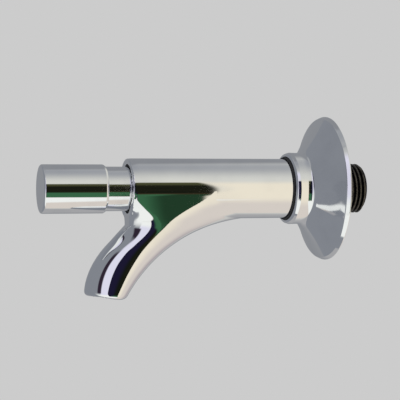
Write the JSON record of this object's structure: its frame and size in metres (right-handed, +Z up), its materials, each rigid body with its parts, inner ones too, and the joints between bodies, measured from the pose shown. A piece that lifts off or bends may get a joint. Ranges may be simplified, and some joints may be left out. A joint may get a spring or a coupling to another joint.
{
  "type": "push timed tap",
  "caption": "Wall-mounted self-closing tap: a long push button slides on a neck in front of a round barrel with a curved cast spout, a sliding wall flange and a threaded inlet tail.",
  "frame": {"origin": "on the inlet axis at the wall face, which is the back of the flange's rim", "axes": "+Y into the wall along the inlet thread, +Z up, so the tap stands out along -Y with its spout towards -Z"},
  "size_m": [0.061, 0.1389, 0.0759],
  "materials": {
    "chrome_cast": "polished",
    "chrome_turned": "polished",
    "chrome_pressed": "polished",
    "chrome_button": "polished",
    "brass_dark": "satin",
    "brass_turned": "satin",
    "steel_bright": "satin",
    "spring_steel": "satin",
    "plastic_white": "satin",
    "plastic_blue": "satin",
    "plastic_green": "satin",
    "fibre": "matte",
    "rubber": "matte",
    "rubber_ring": "matte"
  },
  "bodies": {
    "body": {"tap_body": "chrome_cast", "inlet_nipple": "brass_dark", "nipple_gasket": "fibre", "strainer_washer": "rubber", "strainer_screen": "steel_bright", "flow_regulator": "plastic_green", "regulator_ring": "rubber", "head_sleeve": "chrome_turned", "head_o_ring": "rubber", "gland_o_rings": "rubber", "spindle_bush": "plastic_white", "cartridge_barrel": "plastic_white", "flange_o_ring": "rubber", "seat_o_ring": "rubber", "return_spring": "spring_steel", "jet_straightener": "plastic_white"},
    "plunger": {"push_button": "chrome_button", "button_lock_nut": "brass_turned", "spindle": "steel_bright", "timing_piston": "plastic_blue", "piston_seal": "rubber", "piston_clips": "steel_bright", "valve_carrier": "brass_turned", "valve_washer": "rubber", "valve_nut": "brass_turned"},
    "flange": {"wall_flange": "chrome_pressed", "flange_ring": "rubber_ring"}
  },
  "joints": [
    {"name": "button_push", "type": "slide", "parent": "body", "child": "plunger", "axis": [0, 1, 0], "range_m": [0, 0.0075], "stiffness_N_per_m": 1500, "springref_m": -0.008, "deforming": ["return_spring"]},
    {"name": "flange_slide", "type": "slide", "parent": "body", "child": "flange", "axis": [0, -1, 0], "range_m": [0, 0.012]}
  ]
}
